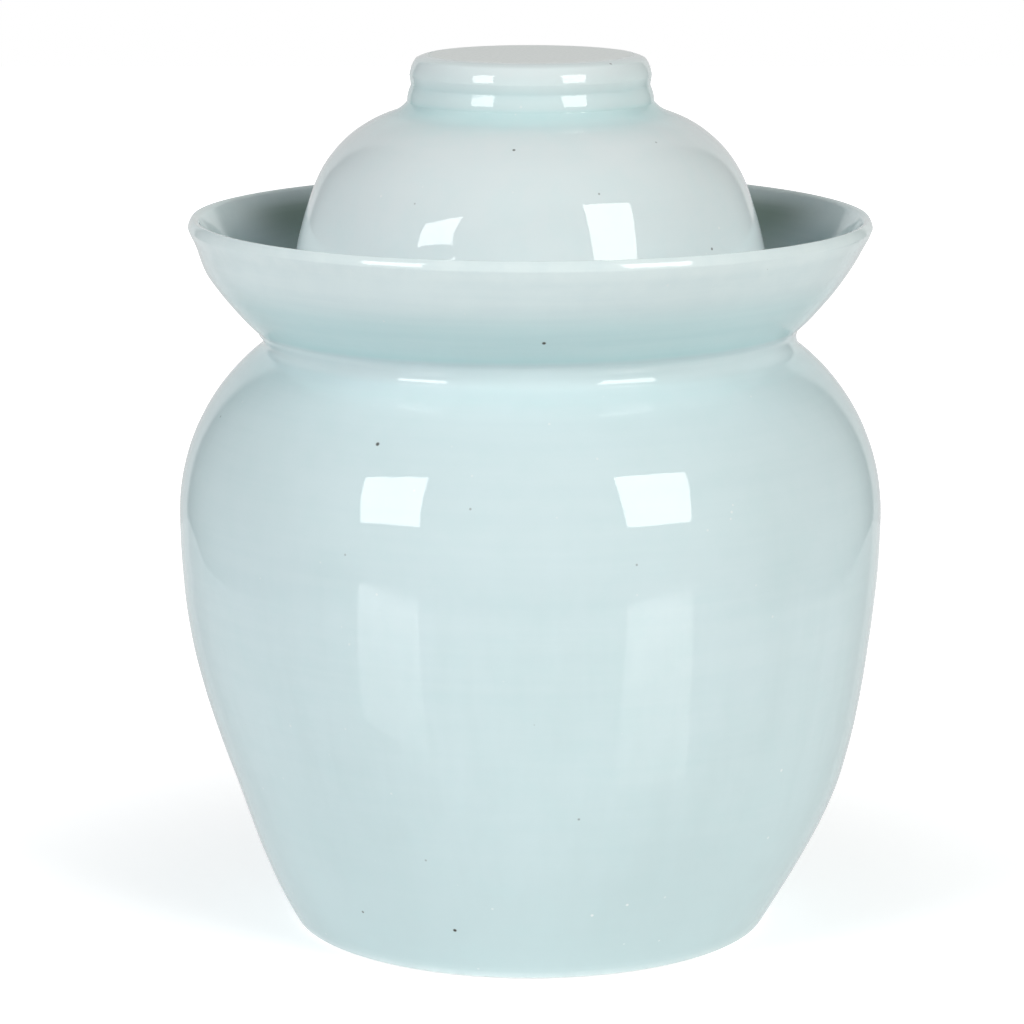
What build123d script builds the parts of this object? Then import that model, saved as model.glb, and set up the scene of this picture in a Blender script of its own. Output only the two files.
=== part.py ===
from build123d import *
import math
import os

# Water seal pickle jar in glazed ceramic. A round-bellied jar has a neck inside a flared trough for
# water. A disc lid covers the neck, and a bowl-shaped lid stands upside down in the trough over both.
# The jar is fired as one piece. It is kept as three simple solids that meet without a gap or an overlap.
# Millimetres, +Z up. The origin is the centre of the foot, and every piece is turned about the Z axis.

# Belly, shoulder and foot
belly_height = 134.0
shoulder_reach = 30.6
shoulder_rise = 56.0
foot_radius = 76.5
body_wall = 5.0
base_thickness = 6.0
base_inside_round = 14.0
foot_ring_width = 8.0
foot_recess = 2.5
foot_edge_round = 2.0
foot_inner_round = 1.0

# Neck and mouth
mouth_radius = 57.5
neck_wall = 5.0
neck_height = 29.0
neck_edge_round = 1.2
neck_root_round = 6.0
mouth_under_round = 4.0
shoulder_inside_round = 8.0

# Trough
trough_floor_above_crease = 5.0
trough_floor_thickness = 5.5
trough_floor_round = 8.0
flare_reach = 26.5
flare_rise = 36.0
flare_round = 90.0
flare_wall = 4.4
crease_round = 2.7
parting_above_floor = 2.5

# Bowl lid
neck_to_lid_gap = 10.4
lid_wall = 4.0
lid_rim_round = 0.9
lid_rim_to_crease = 5.4
lid_wall_inset = 8.3
lid_wall_rise = 43.8
lid_crown_inset = 29.4
lid_crown_rise = 23.9

# Grip ring on the bowl lid
grip_root_round = 3.0
grip_root_rise = 2.6
lower_band_inset = 1.9
lower_band_rise = 7.3
upper_band_inset = 1.0
upper_band_rise = 4.6
band_groove_round = 1.0
top_edge_inset = 4.4
top_edge_rise = 2.8
grip_wall = 4.3
grip_top_thickness = 4.4
pocket_round = 3.5

# Disc lid on the mouth
disc_overlap = 4.5
disc_thickness = 4.5
disc_edge_round = 1.5
spigot_clearance = 1.5
spigot_wall = 4.0
spigot_depth = 6.0
spigot_edge_round = 1.0
button_radius = 13.0
button_height = 13.5
button_crown = 2.5
button_side = 2.5
button_edge_round = 2.0
button_under_round = 1.0
stem_radius = 8.5
stem_height = 5.5
stem_root_round = 3.0

# Sizes that follow from the ones above, outwards from the mouth and upwards from the foot
neck_outer_radius = mouth_radius + neck_wall
lid_rim_inner_radius = neck_outer_radius + neck_to_lid_gap
lid_rim_radius = lid_rim_inner_radius + lid_wall
crease_radius = lid_rim_radius + lid_rim_to_crease
belly_radius = crease_radius + shoulder_reach
base_top = foot_recess + base_thickness
crease_height = belly_height + shoulder_rise
trough_floor_height = crease_height + trough_floor_above_crease
floor_underside = trough_floor_height - trough_floor_thickness
neck_top = trough_floor_height + neck_height

UPWARDS = Vector(0, 1)
DOWNWARDS = Vector(0, -1)
OUTWARDS = Vector(1, 0)


def arc_reach(centre, radius, height):
    """Distance from the Z axis of a circle's outer side at a height."""
    return centre.X + math.sqrt(radius**2 - (height - centre.Y) ** 2)


def arc_height(centre, radius, distance):
    """Height of a circle's upper side at a distance from the Z axis."""
    return centre.Y + math.sqrt(radius**2 - (distance - centre.X) ** 2)


def pulled_in(point, centre, wall):
    """A point on an arc, moved towards the arc's centre by a wall's thickness."""
    return point + (centre - point).normalized() * wall


def turned(outline, rounds):
    """Turn a closed outline of radius and height about the Z axis, with the listed corners rounded."""
    section = make_face(outline)
    for corner, radius in rounds:
        section = fillet(section.vertices().sort_by_distance(corner)[0], radius)
    return revolve(Plane.XZ * section, axis=Axis.Z)


def make_jar():
    """Belly, foot, flared trough and neck, fired as one piece."""
    belly = Vector(belly_radius, belly_height)
    foot = Vector(foot_radius, 0)
    crease = Vector(crease_radius, crease_height)
    lower = TangentArc(belly, foot, tangent=DOWNWARDS)
    upper = TangentArc(belly, crease, tangent=UPWARDS)

    lip_outside = crease + Vector(flare_reach, flare_rise)
    flare = RadiusArc(crease, lip_outside, -flare_round)
    lip_inside = pulled_in(lip_outside, flare.arc_center, flare_wall)
    lip = TangentArc(lip_outside, lip_inside, tangent=flare % 1)
    floor_reach = arc_reach(flare.arc_center, flare_round - flare_wall, trough_floor_height)
    floor_corner = Vector(floor_reach, trough_floor_height)
    flare_inside = TangentArc(lip_inside, floor_corner, tangent=(flare % 1) * -1)

    belly_inside = belly - Vector(body_wall, 0)
    base_corner = Vector(arc_reach(lower.arc_center, lower.radius - body_wall, base_top), base_top)
    crease_inside = pulled_in(crease, upper.arc_center, body_wall)
    lower_inside = TangentArc(belly_inside, base_corner, tangent=DOWNWARDS)
    upper_inside = TangentArc(belly_inside, crease_inside, tangent=UPWARDS)

    neck_root = Vector(neck_outer_radius, trough_floor_height)
    neck_outer_edge = Vector(neck_outer_radius, neck_top)
    neck_inner_edge = Vector(mouth_radius, neck_top)
    mouth_under = Vector(mouth_radius, floor_underside)
    ring_inner_radius = foot_radius - foot_ring_width
    ring_inner_edge = Vector(ring_inner_radius, 0)
    recess_corner = Vector(ring_inner_radius, foot_recess)

    neck = Polyline(floor_corner, neck_root, neck_outer_edge, neck_inner_edge, mouth_under, crease_inside)
    base = Polyline(base_corner, (0, base_top), (0, foot_recess), recess_corner, ring_inner_edge, foot)
    outline = [lower, upper, flare, lip, flare_inside, lower_inside, upper_inside]
    outline += neck.edges() + base.edges()
    rounds = [
        (foot, foot_edge_round),
        (ring_inner_edge, foot_inner_round),
        (recess_corner, foot_inner_round),
        (base_corner, base_inside_round),
        (crease, crease_round),
        (floor_corner, trough_floor_round),
        (neck_root, neck_root_round),
        (neck_outer_edge, neck_edge_round),
        (neck_inner_edge, neck_edge_round),
        (mouth_under, mouth_under_round),
        (crease_inside, shoulder_inside_round),
    ]
    return turned(outline, rounds)


def make_bowl_lid():
    """Bowl-shaped lid that stands on the trough's floor, with a hollow grip ring under its flat top."""
    rim = Vector(lid_rim_radius, trough_floor_height)
    rim_inside = Vector(lid_rim_inner_radius, trough_floor_height)
    shoulder = rim + Vector(-lid_wall_inset, lid_wall_rise)
    grip_root = shoulder + Vector(-lid_crown_inset, lid_crown_rise)
    wall = TangentArc(rim, shoulder, tangent=UPWARDS)
    crown = TangentArc(shoulder, grip_root, tangent=wall % 1)

    band_start = grip_root + Vector(0, grip_root_rise)
    groove = band_start + Vector(-lower_band_inset, lower_band_rise)
    upper_band_end = groove + Vector(-upper_band_inset, upper_band_rise)
    top_edge = upper_band_end + Vector(-top_edge_inset, top_edge_rise)
    lower_band = TangentArc(band_start, groove, tangent=UPWARDS)
    upper_band = TangentArc(groove, upper_band_end, tangent=UPWARDS)
    edge = TangentArc(upper_band_end, top_edge, tangent=upper_band % 1)

    shoulder_inside = pulled_in(shoulder, wall.arc_center, lid_wall)
    pocket_radius = grip_root.X - grip_wall
    pocket_mouth_height = arc_height(crown.arc_center, crown.radius - lid_wall, pocket_radius)
    pocket_mouth = Vector(pocket_radius, pocket_mouth_height)
    wall_inside = TangentArc(rim_inside, shoulder_inside, tangent=UPWARDS)
    crown_inside = TangentArc(shoulder_inside, pocket_mouth, tangent=wall_inside % 1)
    pocket_top = top_edge.Y - grip_top_thickness
    pocket_corner = Vector(pocket_radius, pocket_top)

    top = Polyline(top_edge, (0, top_edge.Y), (0, pocket_top), pocket_corner, pocket_mouth)
    outline = [Line(rim_inside, rim), wall, crown, Line(grip_root, band_start), lower_band, upper_band, edge]
    outline += top.edges() + [crown_inside, wall_inside]
    rounds = [
        (rim, lid_rim_round),
        (rim_inside, lid_rim_round),
        (grip_root, grip_root_round),
        (groove, band_groove_round),
        (pocket_corner, pocket_round),
        (pocket_mouth, pocket_round),
    ]
    return turned(outline, rounds)


def make_inner_lid():
    """Disc lid that rests on the neck, with a spigot ring in the mouth and a button to lift it by."""
    disc_radius = mouth_radius + disc_overlap
    spigot_radius = mouth_radius - spigot_clearance
    disc_top = neck_top + disc_thickness
    spigot_bottom = neck_top - spigot_depth
    button_top = disc_top + button_height

    button_edge = Vector(button_radius, button_top - button_crown)
    button_under = button_edge - Vector(0, button_side)
    stem_end = Vector(stem_radius, disc_top + stem_height)
    stem_root = Vector(stem_radius, disc_top)
    disc_edge = Vector(disc_radius, disc_top)
    disc_under_edge = Vector(disc_radius, neck_top)
    spigot_root = Vector(spigot_radius, neck_top)
    spigot_edge = Vector(spigot_radius, spigot_bottom)
    spigot_inner_edge = Vector(spigot_radius - spigot_wall, spigot_bottom)
    recess_corner = Vector(spigot_radius - spigot_wall, neck_top)

    dome = TangentArc((0, button_top), button_edge, tangent=OUTWARDS)
    button = Polyline(button_edge, button_under, stem_end, stem_root, disc_edge, disc_under_edge)
    underside = Polyline(disc_under_edge, spigot_root, spigot_edge, spigot_inner_edge, recess_corner)
    middle = Polyline(recess_corner, (0, neck_top), (0, button_top))
    outline = [dome] + button.edges() + underside.edges() + middle.edges()
    rounds = [
        (button_edge, button_edge_round),
        (button_under, button_under_round),
        (stem_root, stem_root_round),
        (disc_edge, disc_edge_round),
        (disc_under_edge, disc_edge_round),
        (spigot_edge, spigot_edge_round),
        (spigot_inner_edge, spigot_edge_round),
    ]
    return turned(outline, rounds)


def parted(jar):
    """The jar's body, neck and trough wall, which meet on a level plane just above the trough's floor."""
    parting = Plane.XY.offset(trough_floor_height + parting_above_floor)
    body = split(jar, bisect_by=parting, keep=Keep.BOTTOM)
    rings = split(jar, bisect_by=parting, keep=Keep.TOP).solids().sort_by(SortBy.VOLUME)
    return body.solids()[0], rings[0], rings[-1]


os.makedirs("parts", exist_ok=True)
jar_body, jar_neck, jar_trough = parted(make_jar())
export_step(jar_body, "parts/jar_body.step")
export_step(jar_neck, "parts/jar_neck.step")
export_step(jar_trough, "parts/jar_trough.step")
export_step(make_bowl_lid(), "parts/bowl_lid.step")
export_step(make_inner_lid(), "parts/inner_lid.step")
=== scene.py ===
import math

import bpy
import numpy as np
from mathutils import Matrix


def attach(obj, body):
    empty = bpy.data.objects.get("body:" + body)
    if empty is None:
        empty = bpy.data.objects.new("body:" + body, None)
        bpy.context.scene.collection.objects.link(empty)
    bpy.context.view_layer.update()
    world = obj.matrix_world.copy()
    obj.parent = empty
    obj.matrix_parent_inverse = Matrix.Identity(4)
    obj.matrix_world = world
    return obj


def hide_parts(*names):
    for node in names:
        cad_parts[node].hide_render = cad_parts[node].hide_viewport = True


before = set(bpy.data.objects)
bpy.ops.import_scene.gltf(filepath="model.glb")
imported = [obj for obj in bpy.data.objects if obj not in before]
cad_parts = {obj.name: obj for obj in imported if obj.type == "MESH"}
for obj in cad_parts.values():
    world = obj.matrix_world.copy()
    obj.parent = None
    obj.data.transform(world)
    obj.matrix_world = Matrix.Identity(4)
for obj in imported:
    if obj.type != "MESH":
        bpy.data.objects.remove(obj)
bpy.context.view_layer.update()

# Water seal pickle jar in pale blue-green glaze, around its frame. The outlines are in millimetres,
# as the frame's source has them, and everything in Blender is in metres. A point of an outline is
# its radius + 1j * its height.

MM = 0.001
UP, DOWN, IN = 1j, -1j, -1 + 0j

# Jar
BELLY = 112.9 + 134j
FOOT = 76.5 + 0j
FOOT_RING_WIDTH = 8.0
FOOT_RECESS = 2.5
BODY_WALL = 5.0
BASE_TOP = 8.5
CREASE = 82.3 + 190j
CREASE_NOTCH = CREASE + (-0.8 + 0.7j)
LIP_OUTSIDE = CREASE + (26.5 + 36j)
LIP_TOP = LIP_OUTSIDE + (-1.3 + 3.3j)
FLARE_RADIUS = 90.0
FLARE_WALL = 4.4
TROUGH_FLOOR = 195.0
MOUTH_RADIUS = 57.5
NECK_RADIUS = 62.5
NECK_TOP = 224.0
FLOOR_UNDERSIDE = 189.5

# Rounds of the jar's corners
RECESS_ROUND = 1.0
FOOT_ROUND = 2.0
CREASE_ROUND = 4.5
LIP_ROUND = 1.0
LIP_TOP_ROUND = 0.6
TROUGH_ROUND = 8.0
NECK_ROOT_ROUND = 6.0
NECK_TOP_ROUND = 1.2
UNDERSIDE_ROUND = 4.0
SHOULDER_INSIDE_ROUND = 8.0
BASE_INSIDE_ROUND = 14.0

# Bowl lid
LID_RIM = 76.9 + 195j
LID_WALL = 4.0
LID_SHOULDER = LID_RIM + (-8.3 + 43.8j)
GRIP_ROOT = LID_SHOULDER + (-29.4 + 23.9j)
CROWN_TOP_RADIUS = 44.5
BAND_START = 39.1 + 265.2j
GROOVE = BAND_START + (-1.3 + 5.2j)
UPPER_BAND = GROOVE + (0.5 + 3.1j)
UPPER_BAND_LEAN = 0.09
TOP_EDGE = UPPER_BAND + (-2.0 + 5.2j)
TOP_FLAT = 31 + 280j
GRIP_WALL = 4.3
GRIP_TOP = 4.4

# Rounds of the bowl lid's corners
POCKET_ROUND = 3.5
LID_RIM_ROUND = 0.9
BAND_START_ROUND = 0.3
GROOVE_ROUND = 1.4
UPPER_BAND_ROUND = 0.8
TOP_EDGE_ROUND = 2.5

# Disc lid
DISC_RADIUS = 62.0
DISC_TOP = 228.5
SPIGOT_RADIUS = 56.0
SPIGOT_WALL = 4.0
SPIGOT_BOTTOM = 218.0
STEM_RADIUS = 8.5
STEM_HEIGHT = 5.5
BUTTON_RADIUS = 13.0
BUTTON_TOP = 242.0
BUTTON_EDGE_LOW = BUTTON_TOP - 5
BUTTON_EDGE_HIGH = BUTTON_TOP - 2.5

# Rounds of the disc lid's corners
SPIGOT_ROUND = 1.0
DISC_ROUND = 1.5
STEM_ROOT_ROUND = 3.0
BUTTON_UNDER_ROUND = 1.0
BUTTON_EDGE_ROUND = 2.0

# How far the surfaces stray from their outlines. A run is a length along the profile from its
# first point, and an angle is in radians from +X.
OUTSIDE_ENDS_RUN = 331.0
INSIDE_STARTS_RUN = 350.0
OUT_OF_ROUND = 0.22
UNEVEN_LIP = 0.3
BELLY_LEAN = 2.5
FULLER_FLARE = 1.85
SWELLING = 0.95
SWELLING_RUN = 172.9
SWELLING_ANGLE = 4.31
SWELLING_SLANT = 16.0
SWELLING_REACH = 5.5
SWELLING_SPREAD = 0.28

# How finely an outline is parted and turned
POINT_STEP = 2.2
TURN_STEP = math.radians(7)
CORNER_STEP = math.radians(11)
SAME_POINT = 1e-6
TURNS = 224


class Stretch:
    """A line or an arc: its start, its first heading, its bend (turn per millimetre), its length."""

    def __init__(self, start, heading, bend, length):
        self.start = start
        self.heading = heading
        self.bend = bend
        self.length = length

    def point(self, s):
        """At s along it: start + heading * s * exp(i * bend * s / 2) * sinc(bend * s / 2)."""
        half_turn = 0.5 * self.bend * s
        return self.start + self.heading * s * np.exp(1j * half_turn) * np.sinc(half_turn / np.pi)

    def heading_at(self, s):
        """The first heading turned by bend * s."""
        return self.heading * np.exp(1j * self.bend * s)


class Outline:
    """A piece's profile as a chain of stretches, its solid on the left."""

    def __init__(self, start):
        self.end = start
        self.stretches = []
        self.rounds = []

    def to(self, end, leaving=None, arriving=None, radius=None, round_by=0.0):
        """A line to end, or the arc that leaves or arrives on a heading or turns left by a radius.

        An arc turns by half_turn from its first heading to its chord, and as much again from its
        chord to its last heading. round_by rounds the corner at the end.
        """
        chord = end - self.end
        along = chord / abs(chord)
        half_turn = 0.0
        if leaving is not None:
            half_turn = np.angle(along / leaving)
        elif arriving is not None:
            half_turn = np.angle(arriving / along)
        elif radius is not None:
            half_turn = math.asin(abs(chord) / (2 * radius))
        length = abs(chord) / np.sinc(half_turn / np.pi)
        first_heading = along * np.exp(-1j * half_turn)
        self.stretches.append(Stretch(self.end, first_heading, 2 * half_turn / length, length))
        self.rounds.append(round_by)
        self.end = end
        self.heading = along * np.exp(1j * half_turn)

    def points(self):
        """The profile's points, no further apart than the steps, with its corners rounded.

        A round takes radius * tan(turn / 2) off the stretches on both sides of its corner.
        """
        count = len(self.stretches)
        first, last = np.zeros(count), np.array([stretch.length for stretch in self.stretches])
        for k in range(count - 1):
            before, after = self.stretches[k : k + 2]
            turn = np.angle(after.heading_at(0) / before.heading_at(last[k]))
            trim = self.rounds[k] * math.tan(abs(turn) / 2)
            last[k] -= trim
            first[k + 1] = trim
        chain = []
        for k, stretch in enumerate(self.stretches):
            span = last[k] - first[k]
            turned = abs(stretch.bend) * span
            steps = max(1, math.ceil(span / POINT_STEP), math.ceil(turned / TURN_STEP))
            chain.append(stretch.point(np.linspace(first[k], last[k], steps + 1)))
            if self.rounds[k]:
                after = self.stretches[k + 1]
                chain.append(rounded(stretch, last[k], after, first[k + 1], self.rounds[k]))
        joined = np.concatenate(chain)
        keep = np.append(True, abs(np.diff(joined)) > SAME_POINT)
        return joined[keep]


def rounded(before, leaves, after, joins, radius):
    """A corner's cubic curve, from where it leaves one stretch to where it joins the next.

    Its handles are 4/3 * tan(turn / 4) * radius, so it is a circle's arc to within a thousandth.
    """
    a, b = before.point(leaves), after.point(joins)
    heading_a, heading_b = before.heading_at(leaves), after.heading_at(joins)
    turn = abs(np.angle(heading_b / heading_a))
    handle = 4 / 3 * math.tan(turn / 4) * radius
    t = np.linspace(0, 1, max(3, math.ceil(turn / CORNER_STEP)) + 1)
    return (
        a * (1 - t) ** 3
        + 3 * (a + handle * heading_a) * t * (1 - t) ** 2
        + 3 * (b - handle * heading_b) * t**2 * (1 - t)
        + b * t**3
    )


def arriving_heading(start, end, leaving):
    """The last heading of the arc that leaves start on a heading: its chord's squared over that."""
    along = (end - start) / abs(end - start)
    return along**2 / leaving


def arc_centre(start, end, leaving):
    """Centre of the arc that leaves start on a heading: chord / (2 * sin(half_turn)) to its left."""
    half_turn = np.angle((end - start) / abs(end - start) / leaving)
    return start + 1j * leaving * abs(end - start) / (2 * math.sin(half_turn))


def arc_centre_of_radius(start, end, radius):
    """Centre of the arc of a radius that turns left from start to end."""
    chord = end - start
    half_turn = math.asin(abs(chord) / (2 * radius))
    leaving = chord / abs(chord) * np.exp(-1j * half_turn)
    return start + 1j * leaving * radius


def arc_top(centre, radius, x):
    """The point on a circle's upper side at a distance x from the Z axis."""
    return x + 1j * (centre.imag + math.sqrt(radius**2 - (x - centre.real) ** 2))


def arc_side(centre, radius, height):
    """The point on a circle's outer side at a height."""
    return centre.real + math.sqrt(radius**2 - (height - centre.imag) ** 2) + 1j * height


def pulled(point, centre, wall):
    """A point moved towards a centre by a wall's thickness."""
    return point + wall * (centre - point) / abs(centre - point)


def eased(x, low, high):
    """0 below low, 1 above high, and a smooth step t * t * (3 - 2 * t) between them."""
    t = np.clip((x - low) / (high - low), 0, 1)
    return t * t * (3 - 2 * t)


def smoothed(values, run, reach):
    """Mean of the values of nearby points, with weights exp(-(distance / reach)^2 / 2) * width."""
    widths = np.gradient(run)
    weights = np.exp(-0.5 * ((run[:, None] - run[None, :]) / reach) ** 2) * widths
    return weights @ values / weights.sum(axis=1)


def glaze_by_bend(bend, run, most, rate, sharpest, reach):
    """What a bend does to glaze: most * (1 - exp(-rate * bend)), the bend cut off and smoothed."""
    return most * (1 - np.exp(-rate * smoothed(np.clip(bend, 0, sharpest), run, reach)))


def closed_mesh(name, rings, first_pole, last_pole):
    """Rows of points round the axis, and a point at either end, as one closed mesh.

    Corner k of row i is point 1 + i * turns + k. Quads join the rows and two fans close the ends.
    """
    rows, turns = rings.shape[:2]
    places = np.concatenate([[first_pole], rings.reshape(-1, 3), [last_pole]]) * MM
    here = 1 + np.arange(rows * turns).reshape(rows, turns)
    beside = np.roll(here, -1, axis=1)
    quads = np.stack([here[:-1], beside[:-1], beside[1:], here[1:]], axis=-1).reshape(-1, 4)
    fans = np.concatenate([
        np.stack([np.zeros(turns, int), beside[0], here[0]], axis=-1),
        np.stack([here[-1], beside[-1], np.full(turns, len(places) - 1)], axis=-1),
    ])
    mesh = bpy.data.meshes.new(name)
    mesh.vertices.add(len(places))
    mesh.vertices.foreach_set("co", places.ravel())
    mesh.loops.add(quads.size + fans.size)
    mesh.loops.foreach_set("vertex_index", np.concatenate([quads.ravel(), fans.ravel()]))
    mesh.polygons.add(len(quads) + len(fans))
    starts = np.append(np.arange(len(quads)) * 4, quads.size + np.arange(len(fans)) * 3)
    mesh.polygons.foreach_set("loop_start", starts)
    mesh.update(calc_edges=True)
    mesh.validate()
    mesh.shade_smooth()
    return mesh


def turned_piece(name, profile, hollows, glaze):
    """A profile turned about the Z axis, as one closed mesh with its glaze and painted shade as
    attributes.

    A point is (r cos a, r sin a, z), moved inwards along the profile's normal by
    hollows(r, z, run, a) millimetres. The attribute deep follows the profile's hollow bends, where
    glaze gathers, and pale its outward bends, where glaze runs off. glaze(r, z, outward) adds to
    both, partly with painted light. Its third value is painted shade, 1 where that shade is darkest,
    and its fourth, bare, is 1 where there is no glaze.
    """
    run = np.append(0, np.cumsum(abs(np.diff(profile))))
    heading = np.gradient(profile, run)
    heading /= abs(heading)
    bend = np.gradient(np.unwrap(np.angle(heading)), run)
    nearly_level = -0.02
    outward = (-1j * heading).real > nearly_level
    more_deep, more_pale, pool, bare = glaze(profile.real, profile.imag, outward)
    deep = glaze_by_bend(-bend, run, most=0.5, rate=14, sharpest=0.5, reach=2.6) + more_deep
    pale = glaze_by_bend(bend, run, most=0.9, rate=6, sharpest=0.6, reach=1.1) + more_pale

    ring = profile[1:-1, None]
    angle = np.arange(TURNS) * (2 * np.pi / TURNS)
    depth = hollows(ring.real, ring.imag, run[1:-1, None], angle[None, :])
    ring = ring + 1j * heading[1:-1, None] * depth
    rings = np.stack([ring.real * np.cos(angle), ring.real * np.sin(angle), ring.imag], axis=-1)
    mesh = closed_mesh(name, rings, [0, 0, profile[0].imag], [0, 0, profile[-1].imag])

    for key, along in (("deep", deep), ("pale", pale), ("pool", pool), ("bare", bare)):
        along = np.clip(along, 0, 1)
        values = np.concatenate([along[:1], np.repeat(along[1:-1], TURNS), along[-1:]])
        mesh.attributes.new(key, "FLOAT", "POINT").data.foreach_set("value", values)
    piece = bpy.data.objects.new(name, mesh)
    bpy.context.collection.objects.link(piece)
    return piece


def throwing_rings(run, angle, pitch, depth):
    """Spiral left by the fingers: depth * (0.5 + 0.5 * sin(2 pi * run / pitch + angle))."""
    return depth * (0.5 + 0.5 * np.sin(2 * np.pi * run / pitch + angle))


def jar_outline():
    """The jar's profile, from the middle of its recess over foot, belly and lip to its base inside.

    The belly is two arcs that meet upright at its widest point, and the flare is one arc that
    steepens towards the lip. Inside are arcs about the same centres, a wall's thickness nearer.
    """
    flare_centre = arc_centre_of_radius(CREASE, LIP_OUTSIDE, FLARE_RADIUS)
    lip_inside = pulled(LIP_OUTSIDE, flare_centre, FLARE_WALL)
    floor_corner = arc_side(flare_centre, FLARE_RADIUS - FLARE_WALL, TROUGH_FLOOR)
    lower_centre = arc_centre(BELLY, FOOT, DOWN)
    upper_centre = arc_centre(BELLY, CREASE, UP)
    base_corner = arc_side(lower_centre, abs(BELLY - lower_centre) - BODY_WALL, BASE_TOP)
    crease_inside = pulled(CREASE, upper_centre, BODY_WALL)
    ring_inner = FOOT.real - FOOT_RING_WIDTH

    line = Outline(1j * FOOT_RECESS)
    line.to(ring_inner + 1j * FOOT_RECESS, round_by=RECESS_ROUND)
    line.to(ring_inner + 0j, round_by=RECESS_ROUND)
    line.to(FOOT, round_by=FOOT_ROUND)
    line.to(BELLY, arriving=UP)
    line.to(CREASE_NOTCH, leaving=UP, round_by=CREASE_ROUND)
    line.to(LIP_OUTSIDE, radius=FLARE_RADIUS, round_by=LIP_ROUND)
    down_the_flare = -line.heading
    line.to(LIP_TOP, leaving=UP, round_by=LIP_TOP_ROUND)
    line.to(lip_inside, arriving=down_the_flare)
    line.to(floor_corner, leaving=down_the_flare, round_by=TROUGH_ROUND)
    line.to(NECK_RADIUS + 1j * TROUGH_FLOOR, round_by=NECK_ROOT_ROUND)
    line.to(NECK_RADIUS + 1j * NECK_TOP, round_by=NECK_TOP_ROUND)
    line.to(MOUTH_RADIUS + 1j * NECK_TOP, round_by=NECK_TOP_ROUND)
    line.to(MOUTH_RADIUS + 1j * FLOOR_UNDERSIDE, round_by=UNDERSIDE_ROUND)
    line.to(crease_inside, round_by=SHOULDER_INSIDE_ROUND)
    line.to(BELLY - BODY_WALL, arriving=DOWN)
    line.to(base_corner, leaving=DOWN, round_by=BASE_INSIDE_ROUND)
    line.to(1j * BASE_TOP)
    return line


def bowl_lid_outline():
    """The bowl lid's profile, from the top of the grip ring's pocket by the rim to its flat top.

    Wall and crown are arcs that run on into each other, and so are their insides, a wall's
    thickness nearer to the same centres. The grip ring is two rounded bands with a groove between.
    """
    wall_end = arriving_heading(LID_RIM, LID_SHOULDER, UP)
    shoulder_inside = pulled(LID_SHOULDER, arc_centre(LID_RIM, LID_SHOULDER, UP), LID_WALL)
    crown_centre = arc_centre(LID_SHOULDER, GRIP_ROOT, wall_end)
    crown_radius = abs(GRIP_ROOT - crown_centre)
    crown_top = arc_top(crown_centre, crown_radius, CROWN_TOP_RADIUS)
    rim_inside = LID_RIM - LID_WALL
    pocket = GRIP_ROOT.real - GRIP_WALL
    pocket_top = TOP_FLAT.imag - GRIP_TOP
    pocket_mouth = arc_top(crown_centre, crown_radius - LID_WALL, pocket)

    line = Outline(1j * pocket_top)
    line.to(pocket + 1j * pocket_top, round_by=POCKET_ROUND)
    line.to(pocket_mouth, round_by=POCKET_ROUND)
    line.to(shoulder_inside, arriving=-arriving_heading(rim_inside, shoulder_inside, UP))
    line.to(rim_inside, arriving=DOWN, round_by=LID_RIM_ROUND)
    line.to(LID_RIM, round_by=LID_RIM_ROUND)
    line.to(LID_SHOULDER, leaving=UP)
    line.to(crown_top, leaving=line.heading)
    line.to(BAND_START, leaving=line.heading, round_by=BAND_START_ROUND)
    line.to(GROOVE, leaving=UP, round_by=GROOVE_ROUND)
    line.to(UPPER_BAND, round_by=UPPER_BAND_ROUND)
    line.to(TOP_EDGE, leaving=UP * np.exp(1j * UPPER_BAND_LEAN), round_by=TOP_EDGE_ROUND)
    line.to(TOP_FLAT, arriving=IN)
    line.to(1j * TOP_FLAT.imag)
    return line


def disc_lid_outline():
    """The disc lid's profile, from its underside's middle by the spigot ring and edge to the button.

    All of it is straight lines with rounded corners, apart from the button's domed top.
    """
    spigot_inner = SPIGOT_RADIUS - SPIGOT_WALL
    line = Outline(1j * NECK_TOP)
    line.to(spigot_inner + 1j * NECK_TOP)
    line.to(spigot_inner + 1j * SPIGOT_BOTTOM, round_by=SPIGOT_ROUND)
    line.to(SPIGOT_RADIUS + 1j * SPIGOT_BOTTOM, round_by=SPIGOT_ROUND)
    line.to(SPIGOT_RADIUS + 1j * NECK_TOP)
    line.to(DISC_RADIUS + 1j * NECK_TOP, round_by=DISC_ROUND)
    line.to(DISC_RADIUS + 1j * DISC_TOP, round_by=DISC_ROUND)
    line.to(STEM_RADIUS + 1j * DISC_TOP, round_by=STEM_ROOT_ROUND)
    line.to(STEM_RADIUS + 1j * (DISC_TOP + STEM_HEIGHT))
    line.to(BUTTON_RADIUS + 1j * BUTTON_EDGE_LOW, round_by=BUTTON_UNDER_ROUND)
    line.to(BUTTON_RADIUS + 1j * BUTTON_EDGE_HIGH, round_by=BUTTON_EDGE_ROUND)
    line.to(1j * BUTTON_TOP, arriving=IN)
    return line


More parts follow.
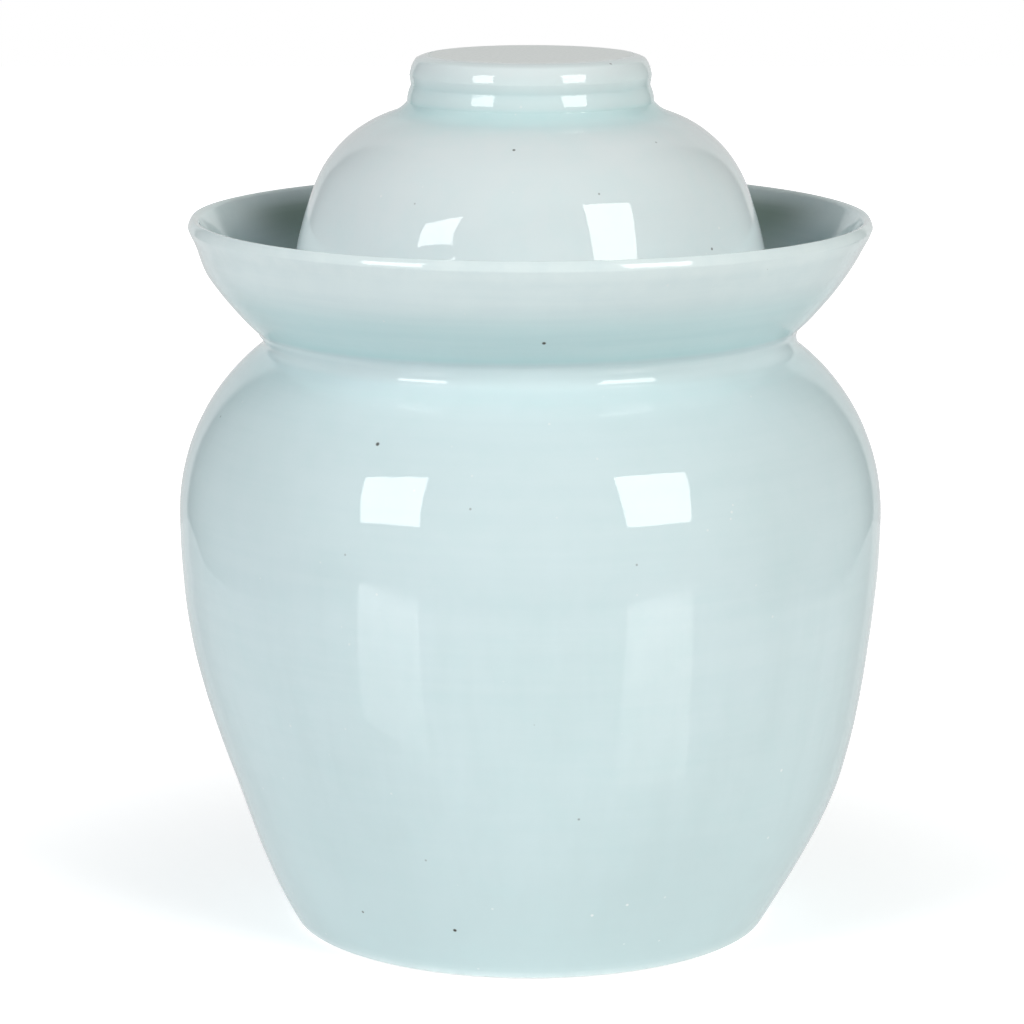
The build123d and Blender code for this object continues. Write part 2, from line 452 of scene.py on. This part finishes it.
def jar_hollows(r, z, run, angle):
    """How far the jar's surface lies inside its outline: fades times sines of the run and the angle.

    Throwing rings are deeper inside than outside, the belly is slightly out of round and the lip
    slightly uneven. No ring reaches the foot, the neck's top or the trough's floor. Outside, the
    lower belly leans a little towards +X, and the flare is a little fuller on the side towards -X.
    """
    over_foot = eased(z, 4, 20)
    free = over_foot * eased(abs(z - NECK_TOP), 0.5, 4) * eased(abs(z - TROUGH_FLOOR), 1, 8)
    coarse = throwing_rings(run, angle, pitch=17, depth=0.03)
    fine = throwing_rings(run, 2 * angle, pitch=7.3, depth=0.012)
    inside = throwing_rings(run, angle, pitch=11, depth=0.12)
    rings = np.where(run < INSIDE_STARTS_RUN, coarse + fine, inside)

    wide = r > CREASE.real + 1.7
    oval = OUT_OF_ROUND * eased(z, 20, 90) * (0.5 + 0.5 * np.cos(2 * angle + 0.6))
    lip_waves = 0.5 + 0.35 * np.sin(3 * angle + 1) + 0.15 * np.sin(5 * angle)
    lip = UNEVEN_LIP * eased(r, 96, 106) * eased(z, 212, LIP_OUTSIDE.imag) * lip_waves

    over_crease = z - CREASE.imag
    low_belly = eased(z, 0, 50) * (1 - eased(z, 40, 104))
    low_flare = eased(over_crease, -1.5, 3) * (1 - eased(over_crease, 22, 33))
    towards_left = (0.5 - 0.5 * np.cos(angle)) ** 3
    swollen = BELLY_LEAN * low_belly * np.cos(angle) + FULLER_FLARE * low_flare * towards_left
    return free * (rings + oval * wide) + lip - swollen * (run < OUTSIDE_ENDS_RUN)


def bowl_lid_hollows(r, z, run, angle):
    """Faint rings over the crown, none at the rim or the flat top, and a low swelling at the left.

    The swelling is a Gaussian over the run and the angle, slanted by a run for each radian.
    """
    over_rim = z - LID_RIM.imag
    free = eased(over_rim, 2, 11) * eased(TOP_FLAT.imag - z, 0.05, 3)
    coarse = throwing_rings(run, angle, pitch=13, depth=0.03)
    fine = throwing_rings(run, 2 * angle, pitch=6.1, depth=0.012)
    aside = angle - SWELLING_ANGLE
    upwards = run - SWELLING_RUN - SWELLING_SLANT * aside
    off_middle = (upwards / SWELLING_REACH) ** 2 + (aside / SWELLING_SPREAD) ** 2
    return free * (coarse + fine) - SWELLING * np.exp(-off_middle / 2)


def disc_lid_hollows(r, z, run, angle):
    """Faint rings on the disc's upper side only, between the stem and the edge."""
    upper_side = eased(z, DISC_TOP - 0.3, DISC_TOP)
    free = upper_side * eased(r - STEM_RADIUS, 0.5, 5.5) * eased(DISC_RADIUS - r, 2, 6)
    return free * throwing_rings(run, angle, pitch=9, depth=0.05)


class Value:
    """A socket in an expression on a surface: each operator adds its Math node."""

    def __init__(self, sheet, socket):
        self.sheet = sheet
        self.socket = socket

    def math(self, operation, *others, clamp=False):
        """The Math node of an operation on this value and others."""
        values = dict(enumerate((self,) + others))
        return self.sheet.node("Math", {"operation": operation, "use_clamp": clamp}, values)

    def of(self, output):
        """Another output of the same node."""
        return Value(self.sheet, self.socket.node.outputs[output])

    def between(self, low, high, to_low=0.0, to_high=1.0):
        """A smooth step from to_low at low to to_high at high."""
        ends = {"From Min": low, "From Max": high, "To Min": to_low, "To Max": to_high}
        settings = {"interpolation_type": "SMOOTHSTEP"}
        return self.sheet.node("MapRange", settings, {"Value": self, **ends})

    def __add__(self, other):
        return self.math("ADD", other)

    __radd__ = __add__

    def __mul__(self, other):
        return self.math("MULTIPLY", other)

    __rmul__ = __mul__

    def __sub__(self, other):
        return self.math("SUBTRACT", other)

    def __rsub__(self, other):
        return (self * -1) + other


class Sheet:
    """A node tree that is filled in by expressions."""

    def __init__(self, tree):
        self.tree = tree
        tree.nodes.clear()

    def node(self, kind, settings=None, inputs=None, output=0):
        """Adds a node: first its settings, then its sockets' values or links. Gives one output."""
        made = self.tree.nodes.new("ShaderNode" + kind)
        for key, value in (settings or {}).items():
            setattr(made, key, value)
        for key, value in (inputs or {}).items():
            socket = pick(made.inputs, key)
            if isinstance(value, Value):
                self.tree.links.new(value.socket, socket)
            else:
                socket.default_value = value
        return Value(self, pick(made.outputs, output)) if made.outputs else None

    def mixed(self, factor, a, b):
        """Colour a, and colour b where the factor is 1."""
        colours = {"Factor_Float": factor, "A_Color": a, "B_Color": b}
        return self.node("Mix", {"data_type": "RGBA"}, colours, "Result_Color")

    def noise(self, place, scale, detail=2.0, roughness=0.5):
        """Cloudy noise between about 0.3 and 0.7, of a scale per metre."""
        values = {"Vector": place, "Scale": scale, "Detail": detail, "Roughness": roughness}
        return self.node("TexNoise", None, values)

    def stretched(self, place, factors):
        """A place with its X, Y and Z multiplied."""
        return self.node("VectorMath", {"operation": "MULTIPLY"}, {0: place, 1: factors})

    def dots(self, place, scale, edge, core):
        """Dots about the points of a Voronoi pattern: 0 past the edge, 1 within the core, in cells."""
        values = {"Vector": place, "Scale": scale, "Randomness": 1}
        away = self.node("TexVoronoi", {"feature": "F1"}, values, "Distance")
        return away.between(edge, core)

    def attribute(self, name):
        """A number that the piece's mesh carries."""
        return self.node("Attribute", {"attribute_name": name}, None, "Fac")


def pick(sockets, key):
    """The socket of that number, or with that identifier or, if there is none, that name."""
    if isinstance(key, int):
        return sockets[key]
    by_identifier = [s for s in sockets if s.identifier == key]
    return by_identifier[0] if by_identifier else sockets[key]


def new_material(name):
    """A material, and its emptied sheet of nodes."""
    material = bpy.data.materials.new(name)
    material.use_nodes = True
    return material, Sheet(material.node_tree)


def colour(r, g, b):
    """A colour as a screen shows it, 0 to 255, in Blender's linear values, by the sRGB curve."""
    share = np.array([r, g, b]) / 255
    linear = np.where(share <= 0.04045, share / 12.92, ((share + 0.055) / 1.055) ** 2.4)
    return (*(float(v) for v in linear), 1.0)


WHITE = (1, 1, 1, 1)
GLAZE = colour(210, 228, 232)
GLAZE_CLOUD = colour(204, 224, 227)
GLAZE_DEEP = colour(194, 229, 231)
GLAZE_PALE = colour(229, 242, 243)
# Painted shade: the dark grey-green of the lid's shadow in the trough
GLAZE_POOL = colour(134, 156, 144)
GLAZE_FOOT = colour(194, 214, 216)
LID_GLAZE = colour(224, 233, 235)
LID_CLOUD = colour(219, 231, 233)
CLAY = colour(247, 251, 250)
CLAY_GRAIN = colour(239, 244, 243)
IRON_SPECK = colour(58, 52, 44)
# Pale specks, and also a painted highlight on the jar
ASH_SPECK = colour(236, 242, 242)
FLOOR_WHITE = colour(230, 231, 232)

GLAZE_IOR = 1.37
GLAZE_ROUGHNESS = 0.02
CLAY_ROUGHNESS = 0.72
RELIEF_DEPTH = 0.00002

# Specks in the glaze, and one painted glint: place and radius in millimetres, and how strong they are
JAR_IRON = [
    (-46.0, -90.1, 171.6, 0.82, 0.9),
    (-23.5, -82.5, 17.7, 0.78, 1.0),
    (-52.3, -68.4, 19.3, 0.61, 0.75),
    (3.6, -94.4, 202.8, 0.8, 0.95),
    (14.3, -101.2, 58.5, 0.54, 0.45),
    (31.1, -108.4, 138.7, 0.51, 0.4),
    (-55.7, -97.9, 139.5, 0.48, 0.3),
    (-32.2, -90.1, 42.4, 0.51, 0.35),
]
JAR_ASH = [
    (18.7, -87.2, 24.0, 0.65, 0.9),
    (29.5, -85.8, 26.9, 0.65, 0.9),
    (77.4, -71.1, 65.6, 0.72, 0.7),
    (73.9, -64.9, 42.2, 0.65, 0.6),
    (40.0, -98.6, 220.6, 0.6, 0.8),
    # Painted highlight: these three pale specks in a row stand in for the glint on a small glaze ridge
    (60.3, -92.0, 153.5, 0.5, 0.6),
    (59.9, -92.9, 151.5, 0.6, 0.7),
    (59.6, -93.7, 149.6, 0.5, 0.6),
]
LID_IRON = [
    (-5.3, -55.2, 255.8, 0.63, 0.8),
    (24.6, -25.2, 279.0, 0.65, 0.7),
    (55.4, -47.8, 224.6, 0.6, 0.7),
    (20.4, -63.2, 243.4, 0.45, 0.5),
    (-35.3, -58.4, 239.8, 0.4, 0.4),
]
LID_ASH = [
    (57.8, -42.2, 230.3, 0.6, 0.8),
    (-45.9, -49.7, 241.1, 0.6, 0.8),
]
SPECK_CORE = 0.4


def speckled(sheet, place, specks):
    """A speck's strength inside its core, a share of its radius, fading to 0 at its radius."""
    mask = 0.0
    for x, y, z, radius, strength in specks:
        centre = (x * MM, y * MM, z * MM)
        away = sheet.node("VectorMath", {"operation": "DISTANCE"}, {0: place, 1: centre}, "Value")
        mask = away.between(radius * MM, radius * MM * SPECK_CORE, 0.0, strength) + mask
    return mask


def flare_marks(height):
    """How strong the jar's pale wheel marks are: faint, and stronger from the crease up."""
    crease = CREASE.imag * MM
    return 0.08 + height.between(crease - 0.002, crease + 0.006) * 0.3


def faint_marks(height):
    """How strong the lids' pale wheel marks are: faint at every height."""
    return 0.05


def glazed(name, seed, main, cloud, wheel_marks, iron_specks=(), ash_specks=()):
    """Celadon glaze: clear blue-green, paler at edges, deeper where it gathers and near the foot.

    Each layer is a colour mixed over the last by a mask of noise, height, specks or the piece's own
    attributes, some of which carry painted light, and painted shade in the trough towards the rear.
    Bare clay comes last, rough and with a grain. The seed moves the noise.
    """
    material, sheet = new_material(name)
    place = sheet.node("TexCoord", None, None, "Object")
    seeded = {0: place, 1: (seed, seed * 0.37, -seed)}
    moved = sheet.node("VectorMath", {"operation": "ADD"}, seeded)
    height = sheet.node("SeparateXYZ", None, {0: place}, "Z")
    rearwards = height.of("Y")
    deep, pale, pool, bare = (sheet.attribute(key) for key in ("deep", "pale", "pool", "bare"))

    clouds = sheet.noise(moved, 16, detail=3, roughness=0.55).between(0.35, 0.68)
    mottle = sheet.noise(moved, 110, detail=4, roughness=0.6).between(0.3, 0.7)
    downwards = sheet.stretched(moved, (60, 60, 7))
    runs = sheet.noise(downwards, 1, detail=3, roughness=0.6).between(0.4, 0.7)
    around = sheet.stretched(moved, (9, 9, 240))
    rings = sheet.noise(around, 1, detail=3, roughness=0.6).between(0.35, 0.65)
    grain = sheet.noise(moved, 900)

    base = sheet.mixed(clouds * 0.6 + mottle * 0.3, main, cloud)
    base = sheet.mixed(rings * wheel_marks(height), base, GLAZE_PALE)
    base = sheet.mixed(runs * height.between(0.19, 0.05) * 0.3, base, GLAZE_FOOT)
    base = sheet.mixed(height.between(0.12, -0.03) * 0.9, base, GLAZE_FOOT)
    gathered = (deep + (mottle - 0.5) * 0.1).math("ADD", 0, clamp=True)
    base = sheet.mixed(gathered, base, GLAZE_DEEP)
    # Pale at edges; along the crease, up the flare and inside the lip partly painted light
    base = sheet.mixed(pale * (0.7 + 0.3 * mottle), base, GLAZE_PALE)
    # Painted shade of the lid's shadow in the trough, only towards the rear (+Y)
    base = sheet.mixed(pool * rearwards.between(0.035, 0.065, 0.0, 0.82), base, GLAZE_POOL)

    dust = sheet.dots(moved, 55, edge=0.028, core=0.012)
    pinholes = sheet.dots(moved, 90, edge=0.05, core=0.02)
    iron = speckled(sheet, place, iron_specks) + dust * 0.4
    pits = speckled(sheet, place, ash_specks) + pinholes * 0.5
    # Pale specks and pinholes, and the painted glint on the jar's right side
    base = sheet.mixed(pits, base, ASH_SPECK)
    base = sheet.mixed(iron, base, IRON_SPECK)
    clay = sheet.mixed(grain.between(0.3, 0.7), CLAY, CLAY_GRAIN)
    base = sheet.mixed(bare, base, clay)

    gloss = GLAZE_ROUGHNESS + 0.02 * mottle + 0.35 * iron
    rough = gloss + bare * (CLAY_ROUGHNESS - gloss)
    orange_peel = sheet.noise(moved, 260, roughness=0.4) * 0.6 + sheet.noise(moved, 60, detail=1) * 1.6
    relief = orange_peel * (1 - bare) + bare * grain * 3 - pits * 1.5
    bump = sheet.node("Bump", None, {"Strength": 1.0, "Distance": RELIEF_DEPTH, "Height": relief})
    surface = sheet.node("BsdfPrincipled", None, {
        "Base Color": base, "Roughness": rough, "Normal": bump, "IOR": GLAZE_IOR,
    })
    sheet.node("OutputMaterial", None, {"Surface": surface})
    return material


def jar_glaze(r, z, outside):
    """Fades over height and radius of the jar's glaze: how deep, pale and bare it is, with painted
    shade.

    It is darker low on the flare, and less so along the crease, where it is a little pale: painted
    light for the crease's bright reflected band. It is pale up to the lip and inside it: thinner glaze,
    with painted light on the downward-facing flare and the trough's upper wall. The trough carries
    painted shade of the lid's shadow, and it is bare under the foot ring and on the mouth's seat.
    """
    over_crease, lip = z - CREASE.imag, LIP_OUTSIDE.imag
    flare = outside & (r > CREASE.real - 2.3)
    trough = ~outside & (r > NECK_RADIUS - 2) & (z > TROUGH_FLOOR - 1)

    low_flare = eased(over_crease, 3, 8) * (1 - eased(over_crease, 17, 27))
    # Along the crease less deep and a little pale: painted light for its bright reflected band
    deep = 0.55 * flare * low_flare - 0.5 * (flare & (abs(over_crease) < 5))
    along_crease = np.exp(-(((over_crease + 1) / 4.5) ** 2))
    # Pale up the flare and inside the lip: thinner glaze, and painted light on the downward-facing
    # flare and the trough's upper wall
    up_to_lip = eased(over_crease, 13, 31)
    pale = flare * (0.1 * along_crease + 0.75 * up_to_lip) + trough * eased(z, lip - 10, lip - 1)

    up_the_wall = 0.6 + 0.4 * eased(z, TROUGH_FLOOR + 15, TROUGH_FLOOR + 26)
    below_lip = 1 - eased(z, lip - 4, lip + 2)
    # Painted shade: the lid's shadow in the trough, up its wall to below the lip
    pool = trough * up_the_wall * below_lip * eased(r - NECK_RADIUS, 3.5, 9.5)

    foot = (1 - eased(z, 0.15, 1.0)) * eased(r, 60, 62)
    seat = eased(z, NECK_TOP - 0.4, NECK_TOP - 0.02) * (r < NECK_RADIUS + 1.5)
    return deep, pale, pool, np.maximum(foot, seat)


def bowl_lid_glaze(r, z, outside):
    """Darker high on the crown next to the grip ring, bare at the rim's edge, wiped thin over the grip
    ring's flat top.
    """
    over_rim = z - LID_RIM.imag
    crown = 0.25 * outside * (1 - eased(r, 44, 58)) * (z < BAND_START.imag + 0.3)
    rim = 1 - eased(over_rim, 0.05, 0.8)
    top = 0.95 * (1 - eased(r - TOP_FLAT.real, 0.5, 2.5)) * (z > TOP_FLAT.imag - 1)
    return crown, 0 * z, 0 * z, np.maximum(rim, top)


def disc_lid_glaze(r, z, outside):
    """Bare on the ring under the disc that rests on the neck."""
    over_neck = z - NECK_TOP
    seat = (1 - eased(over_neck, 0.02, 0.4)) * (r > SPIGOT_RADIUS - 1) * (over_neck > -0.1)
    return 0 * z, 0 * z, 0 * z, seat


def dressed(name, node_names, body, outline, hollows, glaze, finish):
    """A turned and glazed piece that rides on a body and stands for its CAD nodes."""
    piece = turned_piece(name, outline.points(), hollows, glaze)
    piece.data.materials.append(finish)
    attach(piece, body)
    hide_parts(*node_names)


dressed("glazed_jar", ("jar_body", "jar_neck", "jar_trough"), "jar",
        jar_outline(), jar_hollows, jar_glaze,
        glazed("jar_celadon", 0.0, GLAZE, GLAZE_CLOUD, flare_marks, JAR_IRON, JAR_ASH))
dressed("glazed_bowl_lid", ("bowl_lid",), "bowl_lid",
        bowl_lid_outline(), bowl_lid_hollows, bowl_lid_glaze,
        glazed("bowl_lid_celadon", 4.3, LID_GLAZE, LID_CLOUD, faint_marks, LID_IRON, LID_ASH))
dressed("glazed_disc_lid", ("inner_lid",), "inner_lid",
        disc_lid_outline(), disc_lid_hollows, disc_lid_glaze,
        glazed("disc_lid_celadon", 7.7, LID_GLAZE, LID_CLOUD, faint_marks))


def flat_panel(name, left, front, right, back, level, finish):
    """A level rectangle, facing up, with a finish."""
    corners = [(left, front, level), (right, front, level), (right, back, level), (left, back, level)]
    mesh = bpy.data.meshes.new(name)
    mesh.from_pydata(corners, [], [(0, 1, 2, 3)])
    mesh.materials.append(finish)
    panel = bpy.data.objects.new(name, mesh)
    bpy.context.collection.objects.link(panel)
    return panel


def white_with_shadow(sheet):
    """Matt white, with a glow that grows away from the jar, so that only the shadow is grey."""
    place = sheet.node("TexCoord", None, None, "Object")
    away = sheet.node("VectorMath", {"operation": "LENGTH"}, {0: place}, "Value")
    matt = sheet.node("BsdfDiffuse", None, {"Color": FLOOR_WHITE})
    growing = away.between(0.08, 0.34, to_low=0.47, to_high=0.85)
    glow = sheet.node("Emission", None, {"Color": WHITE, "Strength": growing})
    return sheet.node("AddShader", None, {0: matt, 1: glow})


def board_finish():
    """Glossy white board under the jar, glowing a little. The camera sees it as the floor."""
    material, sheet = new_material("board_white")
    glossy = sheet.node("BsdfPrincipled", None, {
        "Base Color": FLOOR_WHITE, "Roughness": 0.07, "IOR": 1.75,
        "Emission Color": WHITE, "Emission Strength": 0.23,
    })
    seen = sheet.node("LightPath", None, None, "Is Camera Ray")
    surface = sheet.node("MixShader", None, {0: seen, 1: glossy, 2: white_with_shadow(sheet)})
    sheet.node("OutputMaterial", None, {"Surface": surface})
    return material


def floor_finish():
    """The white ground round the board."""
    material, sheet = new_material("floor_white")
    sheet.node("OutputMaterial", None, {"Surface": white_with_shadow(sheet)})
    return material


def softbox(name, azimuth, away, height, turn, tilt, width, tall, radiance, tint):
    """A soft panel light, with a power of its radiance times pi times its area.

    It stands away metres from the Z axis, azimuth degrees to the right of the front, at a height.
    It faces level to the rear, turned left by turn and down by tilt degrees.
    """
    lamp = bpy.data.lights.new(name, "AREA")
    lamp.shape = "RECTANGLE"
    lamp.size, lamp.size_y = width, tall
    lamp.energy = radiance * math.pi * width * tall
    lamp.color = tint
    box = bpy.data.objects.new(name, lamp)
    side = math.radians(azimuth)
    box.location = (away * math.sin(side), -away * math.cos(side), height)
    box.rotation_euler = (math.radians(90 - tilt), 0, math.radians(turn))
    box.visible_camera = False
    bpy.context.collection.objects.link(box)


def studio_air():
    """A tent's pale sides, a bright backdrop that curves up behind the jar, white to the camera.

    Each is a mask of smooth steps over the direction's X, Y and Z times its strength. Mirrored and
    refracted rays see part of the backdrop's white too.
    """
    world = bpy.data.worlds.new("studio_air")
    world.use_nodes = True
    sheet = Sheet(world.node_tree)
    direction = sheet.node("TexCoord", None, None, "Generated")
    sideways = sheet.node("SeparateXYZ", None, {0: direction}, "X")
    aside = sideways.math("ABSOLUTE")
    backdrop = aside.between(0.52, 0.44) * sideways.of("Y").between(0.1, 0.3)
    low = sideways.of("Z").between(0.6, 0.3)
    tent = aside.between(0.5, 0.85) * low * 0.3
    air = tent + backdrop * (0.35 + low * 0.12) + 0.1
    lit = sheet.node("Background", None, {"Color": WHITE, "Strength": air})
    white = sheet.node("Background", None, {"Color": WHITE, "Strength": 1.0})
    to_camera = sheet.node("LightPath", None, None, "Is Camera Ray")
    mirrored = to_camera.of("Is Glossy Ray").math("MAXIMUM", to_camera.of("Is Transmission Ray"))
    seen = to_camera.math("MAXIMUM", mirrored * backdrop * low * 0.3)
    surface = sheet.node("MixShader", None, {0: seen, 1: lit, 2: white})
    sheet.node("OutputWorld", None, {"Surface": surface})
    bpy.context.scene.world = world


def photo_camera():
    """The camera that was fitted to the photograph: in front, a little above, looking down."""
    lens = bpy.data.cameras.new("camera")
    lens.lens = 141.45
    lens.sensor_width = 36
    camera = bpy.data.objects.new("camera", lens)
    camera.location = (-0.00588, -1.272, 0.393)
    looking_down = 11.574
    camera.rotation_euler = (math.radians(90 - looking_down), 0, 0)
    bpy.context.collection.objects.link(camera)
    bpy.context.scene.camera = camera


flat_panel("board", left=-0.49, front=-0.49, right=0.49, back=0.6, level=-0.0003, finish=board_finish())
floor = flat_panel("floor", left=-3, front=-3, right=3, back=3, level=-0.0006, finish=floor_finish())
floor.visible_diffuse = floor.visible_glossy = floor.visible_transmission = False
softbox("softbox_left", azimuth=-49.3, away=6, height=2.78, turn=-23, tilt=25.8,
        width=2.57, tall=2.71, radiance=11.05, tint=(0.985, 0.995, 1.0))
softbox("softbox_right", azimuth=44.5, away=6, height=2.96, turn=29.7, tilt=35.8,
        width=2.71, tall=2.97, radiance=10.8, tint=(1.0, 0.995, 0.96))
studio_air()
photo_camera()
bpy.context.scene.view_settings.view_transform = "Standard"
